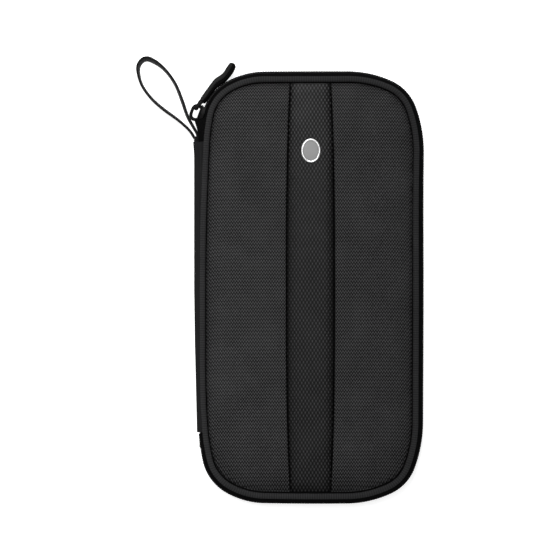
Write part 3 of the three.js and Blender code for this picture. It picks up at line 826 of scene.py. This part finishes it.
def spine_half(upper):
    """Half of the spine cloth, from mid depth round to the seam beside a piping."""
    y, outer, seam = spine_rows()
    thick = 0.8
    profile = [(0, 0), (0, 2.5), (0, 5.0), (0.02, 6.4), (0.1, 7.6), (0.28, 8.7), (0.52, 9.5), (0.78, 10.05),
               (1, 10.3)]
    rings = []
    for yi, xo, xs in zip(y, outer, seam):
        face = [(xo + (xs - xo) * a, DEPTH / 2 + b) for a, b in profile]
        back = [(x + thick * (0.8 if b < 7 else 0.35), z - thick * (0 if b < 7 else 0.8))
                for (x, z), (a, b) in zip(face, profile)]
        ring = [(x, yi, z) for x, z in face + back[::-1]]
        rings.append(ring if upper else [(x, yy, DEPTH - z) for x, yy, z in ring])
    other = "front" if upper else "back"
    piece = Shape().solid(rings).make(f"spine_cloth_{other}_side", "spine", None, "nylon",
                                      ("spine_cover",) if upper else ())
    z_spine, z_cover = DEPTH / 2 + 5.8, DEPTH / 2 + 9.9
    if not upper:
        z_spine, z_cover = DEPTH - z_spine, DEPTH - z_cover
    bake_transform(piece)


def spine_inside():
    """A thin board under the spine cloth, and a soft band of lining between the covers' linings."""
    y, outer, _ = spine_rows(40, 1.6)
    low, high = mm_box("spine_board")[0][2] + 0.5, mm_box("spine_board")[1][2] - 0.5
    rings = [[(x + a, yi, z) for a, z in ((0.95, low), (0.95, high), (1.45, high), (1.45, low))]
             for yi, x in zip(y, outer)]
    Shape().solid(rings).make("spine_stiffener", "foam", "spine", "foam", ("spine_board",))
    low, high = mm_box("spine_lining")
    outline_y = np.linspace(low[1], high[1], 40)
    t = (outline_y - outline_y.mean()) / (outline_y[-1] - outline_y.mean())
    rings = []
    for yi, ti in zip(outline_y, t):
        x = low[0] + 1.2 * ti * ti
        rings.append([(x, yi, low[2] + 0.2), (x + 0.35, yi, low[2]), (x + 0.6, yi, low[2] + 1.5),
                      (x + 0.75, yi, DEPTH / 2), (x + 0.6, yi, high[2] - 1.5), (x + 0.35, yi, high[2]),
                      (x, yi, high[2] - 0.2)])
    Shape().solid(rings).make("spine_inner_band", "lining", "spine", "lining", ("spine_lining",))


# ---- badge ----------------------------------------------------------------------------------
def badge():
    """A plain oval plate: a bright round rim about a slightly domed grey field."""
    low, high = mm_box("badge_rim")
    x, y = (low + high)[:2] / 2
    hx, hy = (high - low)[:2] / 2
    rings = []
    for a in np.linspace(0, 2 * math.pi, 14, endpoint=False):
        less = 0.62 - 0.6 * math.cos(a)
        rings.append(level(oval(x, y, hx - less, hy - less, 64), low[2] + 0.35 + 0.34 * math.sin(a)))
    Shape().hoop(rings).make("badge_oval_rim", "silver", "front_half", "bright_metal", ("badge_rim",))
    hx, hy = hx - 1.15, hy - 1.15
    dome = ((1, 0), (1, 0.2), (0.97, 0.26), (0.9, 0.29), (0.7, 0.33), (0.4, 0.36), (0.05, 0.37))
    rings = [level(oval(x, y, hx * share, hy * share, 64), low[2] + rise) for share, rise in dome]
    Shape().solid(rings).make("badge_oval_field", "field", "front_half", "badge_field", ("badge_field",))


# ---- slider and puller ----------------------------------------------------------------------
SLIDER_HEADING, SLIDER_TILT = 78, -8
SLIDER_HALF = np.array([5.25, 4.2])  # along and across the chain
PLATE_PLAN = [(-1, -0.5), (-0.62, -0.98), (0.45, -1), (0.85, -0.85), (1, -0.5)]  # one side, in halves
PLATE_FACES = [(0.9, 2.1), (-4.1, -5.2)]  # inner and outer face of each plate, out from the chain


def slider_frame():
    """Origin and directions of the slider: along the chain, out of the case, and up."""
    row = LEFT.stations(SLIDER_HEADING, SLIDER_HEADING - 0.01, 1, 1)[0]
    origin = np.array([row[0] + row[2] * row[3], row[1] + row[2] * row[4], DEPTH / 2])
    a = math.radians(SLIDER_HEADING + SLIDER_TILT)
    return origin, np.array([math.cos(a), math.sin(a), 0]), np.array([-math.sin(a), math.cos(a), 0])


def place(points, placing):
    origin, along, out = placing
    points = np.asarray(points, float)
    return origin + points[..., :1] * along + points[..., 1:2] * out + points[..., 2:3] * UP


def slider_shell():
    """Two plates joined by a post, with side wings that hold the coils."""
    placing = slider_frame()
    plan = PLATE_PLAN + [(a, -b) for a, b in PLATE_PLAN[::-1]]
    plan = smooth_outline(np.array(plan) * SLIDER_HALF, 2)
    shape = Shape()
    for inner, outer in PLATE_FACES:
        rings = []
        for inset, rise in ((0.35, 0), (0.1, 0.1), (0, 0.35), (0, 0.75), (0.12, 1.0), (0.5, 1.0)):
            flat = inward(plan, inset)
            out = np.full(len(flat), inner + (outer - inner) * rise)
            rings.append(place(np.column_stack([flat[:, 0], out, flat[:, 1]]), placing))
        shape.solid(rings)
    for side in (-1, 1):
        wing = []
        for a in np.linspace(-3.4, 4.6, 12):
            z = side * SLIDER_HALF[1] * (0.93 - 0.1 * abs(a - 0.6) / 4)
            ring = [(a, 0.95, z), (a, -1.1, z), (a, -1.1, z - side * 0.55), (a, 0.95, z - side * 0.75)]
            wing.append(place(ring, placing))
        shape.solid(wing)
    post = [(-4.6, -0.3), (-3.2, -0.55), (-1.8, 0), (-3.2, 0.55), (-4.6, 0.3)]
    shape.solid([place([(a, out, z) for a, z in post], placing) for out in (-4.3, -2, 0, 1.0)])
    shape.make("slider_shell", "enamel", "zip_slider", "dark_metal", ("slider_body",), 50)


def slider_bridge():
    """The bail: a squared wire arch that holds the puller's pin."""
    arch = [(-3.6, 1.6), (-4.15, 2.6), (-4.3, 4), (-3.9, 5.2), (-2.8, 6.05), (-1.2, 6.35), (0.6, 6.35),
            (2.4, 6.1), (3.5, 5.4), (3.95, 4.2), (3.95, 2.8), (3.6, 1.6)]
    line = spline([(a, b, 0) for a, b in arch], 40)
    rings = tube(line, np.cross(directions(line), UP), 1.4 * UP, 12, 0.75)
    Shape().solid(place(rings, slider_frame())).make(
        "slider_bridge", "enamel", "zip_slider", "dark_metal", ("slider_bail",), 50)


def smooth_outline(points, rounds):
    """Corner cutting: each round takes a fifth off both ends of every side."""
    for _ in range(rounds):
        after = np.roll(points, -1, 0)
        cut = np.stack([0.8 * points + 0.2 * after, 0.2 * points + 0.8 * after], 1)
        points = cut.reshape(-1, points.shape[1])
    return points


def spline(points, count):
    """Points spaced evenly on a smooth curve through the given ones."""
    p = np.asarray(points, float)
    p = np.vstack([2 * p[0] - p[1], p, 2 * p[-1] - p[-2]])
    knots = np.concatenate([[0], np.cumsum(np.linalg.norm(np.diff(p, axis=0), axis=1) ** 0.5)])
    fine = []
    for k in range(1, len(p) - 2):
        t0, t1, t2, t3 = knots[k - 1:k + 3]
        for t in np.linspace(t1, t2, 24, endpoint=False):
            a1 = (t1 - t) / (t1 - t0) * p[k - 1] + (t - t0) / (t1 - t0) * p[k]
            a2 = (t2 - t) / (t2 - t1) * p[k] + (t - t1) / (t2 - t1) * p[k + 1]
            a3 = (t3 - t) / (t3 - t2) * p[k + 1] + (t - t2) / (t3 - t2) * p[k + 2]
            b1 = (t2 - t) / (t2 - t0) * a1 + (t - t0) / (t2 - t0) * a2
            b2 = (t3 - t) / (t3 - t1) * a2 + (t - t1) / (t3 - t1) * a3
            fine.append((t2 - t) / (t2 - t1) * b1 + (t - t1) / (t2 - t1) * b2)
    fine = np.array(fine + [p[-2]])
    return resample(fine, np.linspace(0, travelled(fine)[-1], count))


GRIP = np.array([
    [-61.4, 108.9], [-58.4, 113.4], [-55.1, 117.7], [-52.2, 120], [-49, 122], [-45.2, 126.7],
    [-43.3, 130.3], [-43.9, 132], [-45.2, 132.6], [-46.5, 132.5], [-48.4, 129.8], [-50.6, 126.2],
    [-55.5, 123.2], [-59.6, 117.6], [-63.9, 111.6], [-63.6, 110.2], [-63.2, 109.8]])
GRIP_FACE = np.array([
    [-62, 110.5], [-57.9, 116.4], [-54.3, 121.2], [-50.1, 123.6], [-47.3, 127.5], [-45.2, 130.7],
    [-45.6, 132.2], [-46.4, 132.2], [-48.6, 129.6], [-50.9, 126.1], [-55.7, 123], [-59.8, 117.4],
    [-63.8, 111.6], [-63.1, 110.3]])
GRIP_RIBS = np.array([[-49.8, 125.8], [-46.2, 131.2]])  # they stand across this line near the tip
RIB_WAY = np.array([0.83, -0.55])


def puller_grip():
    """The moulded grip, with a raised face on both sides and small ribs near its tip."""
    low, high = mm_box("puller_grip")
    half = (high[2] - low[2]) / 2
    outline = inward(smooth_outline(GRIP, 2), -0.3)
    profile = ((1.3, -1), (0.7, -0.96), (0.22, -0.84), (0, -0.66), (0, 0.5), (0.3, 0.72), (0.7, 0.82),
               (1.3, 0.88))
    rings = [level(inward(outline, inset), DEPTH / 2 + z * half) for inset, z in profile]
    Shape().solid(rings).make("puller_moulding", "rubber", "zip_puller", "rubber", ("puller_grip",), 45)
    face = smooth_outline(GRIP_FACE, 2)
    shape = Shape()
    for side in (-1, 1):
        profile = ((0.1, 0.5), (0, 0.84), (0.04, 0.93), (0.16, 0.98), (0.4, 1.0))
        shape.solid([level(inward(face, inset), DEPTH / 2 + side * z * half) for inset, z in profile])
    top = DEPTH / 2 + half
    for k in range(7):
        share = 0.1 + k / 8
        middle = GRIP_RIBS[0] * (1 - share) + GRIP_RIBS[1] * share
        rings = []
        for along, r in ((-0.9, 0.12), (-0.5, 0.42), (0.5, 0.42), (0.9, 0.12)):
            x, y = middle + RIB_WAY * along
            foot = top - 0.15
            rings.append([(x, y + r * 0.6, foot), (x, y, top + r * 0.55), (x, y - r * 0.6, foot)])
        shape.solid(rings)
    shape.make("puller_grip_faces", "grip", "zip_puller", "rubber", (), 45)


def puller_link():
    """The shackle: a pin in the bail, two cheeks, and a bridge that the grip is moulded on."""
    swing = next(joint for joint in frame["joints"] if joint["name"] == "puller_swing")
    pin, neck = np.array(swing["pos_m"]) / MM, np.array([-64.0, 109.45, DEPTH / 2])
    reach = np.linalg.norm(neck - pin)
    way = (neck - pin) / reach
    side = np.array([-way[1], way[0], 0])
    cheek = [(1.25 * math.cos(a), 1.25 * math.sin(a)) for a in np.radians(np.linspace(90, 270, 15))]
    cheek += [(reach * 0.5, -1.05), (reach + 0.7, -1.3), (reach + 0.7, 1.3), (reach * 0.5, 1.05)]
    shape = Shape()
    for middle in (-2.4, 2.4):
        rings = []
        for inset, z in ((0.3, -0.6), (0.08, -0.5), (0, -0.3), (0, 0.3), (0.08, 0.5), (0.3, 0.6)):
            flat = inward(np.array(cheek), inset)
            rings.append(pin + flat[:, :1] * way + flat[:, 1:] * side + (middle + z) * UP)
        shape.solid(rings)
    shape.solid(tube(pin + [z * UP for z in (-2.8, -1, 1, 2.8)], 0.8 * way, 0.8 * side, 20))
    bridge = [(-0.6, -1.3), (1.6, -1.1), (1.6, 1.1), (-0.6, 1.3)]
    shape.solid([[neck + a * way + b * side + z * UP for a, b in bridge] for z in (-2.9, 2.9)])
    shape.make("puller_link", "enamel", "zip_puller", "dark_metal", ("puller_shackle",), 40)


# ---- wrist loop -----------------------------------------------------------------------------
RIBBON_ROUTE = [
    [-67.4, 88.4, 5], [-70.4, 93, 4.4], [-77, 99.2, 3.4], [-86.2, 106, 3.1], [-93.2, 112.3, 3.1],
    [-98.8, 120.1, 3.1], [-100.9, 127, 3.1], [-100.9, 131.7, 3.1], [-98.4, 135.1, 3.1], [-95.7, 135.8, 3.1],
    [-91.7, 134.3, 3.1], [-86.7, 130.7, 3.1], [-82.1, 125.5, 3.1], [-78.5, 119.6, 3.1], [-75, 110.7, 3.2],
    [-71.7, 101.4, 3.7], [-68.1, 94.8, 4.5], [-66.1, 91.2, 4.9], [-65.7, 88.4, 5]]
RIBBON_LEAN = [(14, 0.52, 0.08), (5, 0.8, 0.12), (4, 0.2, 0.1)]  # more degrees, place and reach on it


def wrist_loop():
    """An elastic ribbon that stands on its edge and leans a little, most of all at the far bend."""
    line = spline(RIBBON_ROUTE, 260)
    t = directions(line)
    flat = unit(np.column_stack([-t[:, 1], t[:, 0], np.zeros(len(t))]))
    share = np.linspace(0, 1, len(line))
    lean = 6 + sum(more * np.exp(-((share - spot) / reach) ** 2) for more, spot, reach in RIBBON_LEAN)
    lean = np.radians(lean)[:, None]
    wide = (np.cos(lean) * UP + np.sin(lean) * flat) * 2.98
    thin = (np.cos(lean) * flat - np.sin(lean) * UP) * 0.58
    ring = [(1, -0.9), (1, 0.9), (0.7, 0.98), (0, 1), (-0.7, 0.98), (-1, 0.9), (-1, -0.9), (-0.7, -0.98),
            (0, -1), (0.7, -0.98)]
    piece = Shape().solid(np.stack([line + a * thin + b * wide for a, b in ring], 1)).make(
        "wrist_ribbon", "ribbon", "wrist_strap", "ribbon", ("wrist_loop",))
    float(travelled(line)[-1]) * MM
    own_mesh(piece)


def loop_anchor():
    """Where the ribbon's ends are bar-tacked into the back cover's seam."""
    low, high = mm_box("wrist_loop_anchor")
    outline = rounded(low + (0.5, -0.4, 0), high + (0.2, 1.6, 0), 0.9)
    slab(Shape(), outline, low[2], high[2], 0.35).make(
        "loop_seam_tab", "ribbon", "back_half", "binding", ("wrist_loop_anchor",))
    rows = Shape()
    for z in np.arange(low[2] + 0.7, high[2] - 0.4, 0.55):
        line = [(low[0] + 0.44, low[1] + 0.15, z), (low[0] + 0.44, high[1] - 0.15, z)]
        stitches(rows, line, 1.9, 1.7, 0.2, (-1, 0, 0))
    rows.make("loop_bar_tack", "thread", "back_half", "binding")


# ---- inside ---------------------------------------------------------------------------------
def flat_cloth(name, outline, low, high, edge, look, body, node):
    """A flat piece of cloth, sewn down along its outline on what lies beneath it."""
    piece = slab(Shape(), outline, low, high, edge).make(name, look, body, "lining", (node,))


def sewn_round(name, outline, z, up, body, slot="lining", pitch=2.8, length=2.1):
    """A row of light stitches all round an outline."""
    loop = level(np.vstack([outline, outline[:1]]), z)
    stitches(Shape(), loop, pitch, length, 0.2, (0, 0, up)).make(name, "grey_thread", body, slot)


def linings():
    outline, seam = whole(1.5).at(6.6)[::-1, :2], whole(1.0).at(8.6)[:, :2]
    for half, low, high, seam_z, up in (("back", 3.6, 4.25, 4.35, 1),
                                        ("front", DEPTH - 4.25, DEPTH - 3.6, DEPTH - 4.35, -1)):
        flat_cloth(f"{half}_lining_cloth", outline, low, high, 0.25, "lining", f"{half}_half",
                   f"{half}_lining")
        sewn_round(f"{half}_lining_seam", seam, seam_z, up, f"{half}_half", "lining", 3.0, 2.2)


def boards():
    """Foam boards inside the padded covers, thinned towards their rims."""
    path = whole(1.5)
    profile = [(12.4, 3.44), (12, 3.38), (12.2, 3.2), (16, 2.9), (24, 2.7)]
    for half in ("back", "front"):
        rings = [path.at(inset, z if half == "back" else DEPTH - z)[::-1] for inset, z in profile]
        Shape().solid(rings).make(f"{half}_board", "foam", f"{half}_half", "foam", (f"{half}_foam_board",))


def pocket_cloth(name, radius, steps, up, body, node):
    """A pocket's panel: softly rounded cloth with stitching inside its edge."""
    low, high = mm_box(node)
    flat_cloth(name, rounded(low, high, radius, steps), low[2], high[2], 0.3, "pocket", body, node)
    z = high[2] + 0.06 if up > 0 else low[2] - 0.06
    sewn_round(f"{name}_stitching", rounded(low, high, radius, steps, 2.2), z, up, body)


def card_pockets():
    """Four stepped pockets on a backing, each with a bound top and stitched sides."""
    pocket_cloth("card_backing", 8, 8, 1, "back_half", "card_panel")
    for k in range(1, 5):
        name, node = f"card_pocket_{k}", f"card_slot_{k}"
        low, high = mm_box(node)
        top, face = high[1:]
        flat_cloth(name, rounded(low, high, 2, 5), low[2], face, 0.24, "pocket", "back_half", node)
        corners = (low[0] + 0.2, top - 3.4), (high[0] - 0.2, top + 0.15)
        hem = [level(rounded(*corners, 0.8, 3, inset), face + z)
               for inset, z in ((0.2, 0.02), (0, 0.1), (0, 0.2), (0.25, 0.27))]
        Shape().solid(hem).make(f"{name}_edge", "binding", "back_half", "binding")
        line = [(low[0] + 1.2, top - 2.9, face + 0.3), (high[0] - 1.2, top - 2.9, face + 0.3)]
        rows = stitches(Shape(), line, 2.6, 1.9, 0.18)
        foot = low[1] + 1.5 if k == 4 else mm_box(f"card_slot_{k + 1}")[1][1] + 1
        for x in (low[0] + 1.4, high[0] - 1.4):
            stitches(rows, [(x, top - 4.5, face + 0.08), (x, foot, face + 0.08)], 2.6, 1.9, 0.18)
        rows.make(f"{name}_stitching", "grey_thread", "back_half", "lining")


def passport_tray():
    """The passport pocket: a soft face on gusset walls, with a bound mouth."""
    low, high = mm_box("passport_pocket")
    wall, mouth, middle = 1.2, high[1], (low[2] + high[2]) / 2
    profile = ((0.05, -0.8), (0, -0.5), (0.12, -0.2), (0.6, -0.02), (2.4, 0.1), (6, 0.16))
    shape = Shape().solid([level(rounded(low, high, 5, 8, inset), high[2] + z) for inset, z in profile])
    foot = [p for p in rounded(low, high, 5, 8) if p[1] < mouth - 4]
    line = densify(np.vstack([[low[0], mouth - 0.4], *foot, [high[0], mouth - 0.4]]), 2.0)
    rim = high[2] - 0.75
    section = [(0, low[2]), (wall, low[2]), (wall * 0.9, middle), (wall, rim), (0, rim), (0.25, middle)]
    shape.solid([[(x - ty * d, y + tx * d, z) for d, z in section]
                 for (x, y), (tx, ty) in zip(line, directions(line))])
    shape.make("passport_sleeve", "pocket", "back_half", "lining", ("passport_pocket",))
    line = [(x, mouth - 0.9, high[2] - 0.32) for x in np.linspace(low[0] + 0.3, high[0] - 0.3, 60)]
    Shape().solid(tube(np.array(line), (0, 1.4, 0), 0.62 * UP, 14)).make(
        "passport_sleeve_edge", "binding", "back_half", "binding")
    seam = rounded(low, high, 5, 8, 2.6)
    sewn_round("passport_sleeve_stitching", seam, high[2] + 0.1, 1, "back_half")


def densify(points, step):
    out = [points[0]]
    for a, b in zip(points, points[1:]):
        count = max(1, math.ceil(np.linalg.norm(b - a) / step))
        out += [a + (b - a) * k / count for k in range(1, count + 1)]
    return np.array(out)


def pen_sleeve():
    """An elastic tube, a little uneven along its length."""
    low, high = mm_box("pen_loop")
    outer = rounded(low[[0, 2]], high[[0, 2]], 4.6, 8)
    inner = inward(outer, 1.0)
    rings = []
    for y in np.linspace(low[1], high[1], 30):
        swell = 0.048 * math.sin((y - low[1]) * 1.1)
        rings.append([(x, y, z) for x, z in inward(outer, 0.06 - swell)])
    rings += [[(x, y, z) for x, z in inner] for y in np.linspace(high[1], low[1], 30)]
    Shape().grid(rings, closed_run=True, closed_girth=True).make(
        "pen_sleeve", "ribbon", "back_half", "ribbon", ("pen_loop",))


def net_border():
    low, high = mm_box("mesh_pocket_border")
    border = 6.0
    edge = [(0, 0.5), (0.2, 0.1), (0.6, 0)]
    far = [(border - inset, z) for inset, z in edge[::-1]]
    profile = edge + far + [(inset, 1 - z) for inset, z in (edge[1:] + far[:2])[::-1]]
    Shape().hoop([level(rounded(low + inset, high - inset, 12 - min(inset, 5.5), 8),
                        low[2] + (high[2] - low[2]) * z) for inset, z in profile]).make(
        "net_border", "binding", "front_half", "binding", ("mesh_pocket_border",))
    sewn_round("net_border_stitching", rounded(low, high, 12, 10, 3.0), low[2] - 0.06, -1, "front_half",
               "binding")


def net_pocket():
    """A knitted net: six-sided holes between thin strands."""
    low, high = mm_box("mesh_pocket_net")
    middle = (low[2] + high[2]) / 2
    pitch, strand = 3.2, 0.24
    rise, edge = pitch * math.sqrt(3) / 2, pitch / math.sqrt(3)
    low, high = low[:2] - 0.6, high[:2] + 0.6
    shape = Shape()
    for row in range(int((high[1] - low[1]) / rise) + 1):
        y = low[1] + row * rise
        for x in np.arange(low[0] + (pitch / 2 if row % 2 else 0), high[0], pitch):
            foot, head = np.array([x, y - edge / 2]), np.array([x, y + edge / 2])
            left, right = head + [-pitch / 2, edge / 2], head + [pitch / 2, edge / 2]
            for a, b in ((foot, head), (head, right), (head, left)):
                if (np.minimum(a, b) < low).any() or (np.maximum(a, b) > high).any():
                    continue
                t = unit(b - a)
                line = level([a - t * 0.1, b + t * 0.1], middle)
                shape.solid(tube(line, (strand * t[1], -strand * t[0], 0), strand * UP, 4))
    shape.make("net_strands", "net", "front_half", "net", ("mesh_pocket_net",))


def inner_zip():
    for k in (1, 2):
        low, high = mm_box(f"inner_zip_tape_{k}")
        slab(Shape(), rounded(low, high, 0.5, 3), low[2] + 0.1, high[2] - 0.1, 0.2).make(
            f"pocket_tape_{k}", "tape", "front_half", "zip", (f"inner_zip_tape_{k}",))
    low, high = mm_box("inner_zip_coil")
    _, middle, z = (low + high) / 2
    shape = Shape()
    loop = np.array([(0, 1.6, 0.45), (0, -0.1, 0.45), (0.1, -0.5, 0), (0.2, -0.1, -0.45), (0.2, 1.6, -0.45)])
    for k, x in enumerate(np.arange(low[0] + 0.6, high[0] - 0.6, 0.75)):
        route = loop * (1, 1 if k % 2 else -1, 1) + (x, middle, z)
        other = unit(np.cross(directions(route), [1, 0, 0]))
        shape.solid(tube(route, (0.27, 0, 0), 0.27 * other, 6))
    for sign in (-1, 1):
        cord = [(x, middle + sign * 1.35, z) for x in np.linspace(low[0], high[0], 40)]
        shape.solid(tube(np.array(cord), (0, 0.5, 0), 0.62 * UP, 6))
    shape.make("pocket_coil", "coil", "front_half", "zip", ("inner_zip_coil",))


def inner_slider():
    middle = sum(mm_box("inner_zip_coil"))[1] / 2
    low, high = mm_box("inner_slider")
    plan = smooth_outline(rounded(low, high, 2.2, 3), 1)
    shape = slab(Shape(), plan, low[2], high[2] - 0.2, 0.35)
    bar = []
    for along, drop in ((1.6, 0), (2.2, 0.9), (4.4, 1.3), (6.6, 0.9), (7.2, 0)):
        x, z = low[0] + along, low[2] - drop
        bar.append([(x, middle + y, z + rise) for y, rise in ((-0.8, 0), (0.8, 0), (0.8, 0.5), (-0.8, 0.5))])
    shape.solid(bar)
    shape.make("pocket_slider_body", "gunmetal", "pocket_slider", "dark_metal", ("inner_slider",), 50)
    low, high = mm_box("inner_pull")
    outline = rounded(low, high, 1.9, 8)
    hole = oval(high[0] - 2.1, (low[1] + high[1]) / 2, 1.0, 1.0, len(outline))
    blunt = inward(outline, 0.25)
    Shape().hoop([level(blunt, low[2]), level(outline, low[2] + 0.2), level(outline, high[2] - 0.2),
                  level(blunt, high[2]), level(hole, high[2]), level(hole, low[2])]).make(
        "pocket_slider_pull", "gunmetal", "pocket_slider", "dark_metal", ("inner_pull",), 50)


# ---- floor ----------------------------------------------------------------------------------
def make_floor(size=6.0, height=-0.0002):
    look = Look("floor", roughness=0.9, specular=0.1)
    look.colour(look.noise(3, 2), 0.78, 0.8, 1.0)
    look.shader.inputs["Emission Color"].default_value = (1, 1, 1, 1)
    look.shader.inputs["Emission Strength"].default_value = 0.75
    mesh = bpy.data.meshes.new("floor")
    corners = [(-size, -size, height), (size, -size, height), (size, size, height), (-size, size, height)]
    mesh.from_pydata(corners, [], [(0, 1, 2, 3)])
    mesh.materials.append(look.material)
    floor = bpy.data.objects.new("floor", mesh)
    scene.collection.objects.link(floor)


make_camera()
wrist_loop()
make_studio()
make_floor()
front_panels()
back_panel()
centre_strip()
piping()
zip_tapes()
zip_coils()
zip_stops()
spine_half(True)
spine_half(False)
spine_inside()
badge()
slider_shell()
slider_bridge()
puller_grip()
puller_link()
loop_anchor()
linings()
boards()
card_pockets()
passport_tray()
pen_sleeve()
pocket_cloth("pass_sleeve", 14, 10, -1, "front_half", "boarding_pass_pocket")
net_border()
net_pocket()
inner_zip()
inner_slider()
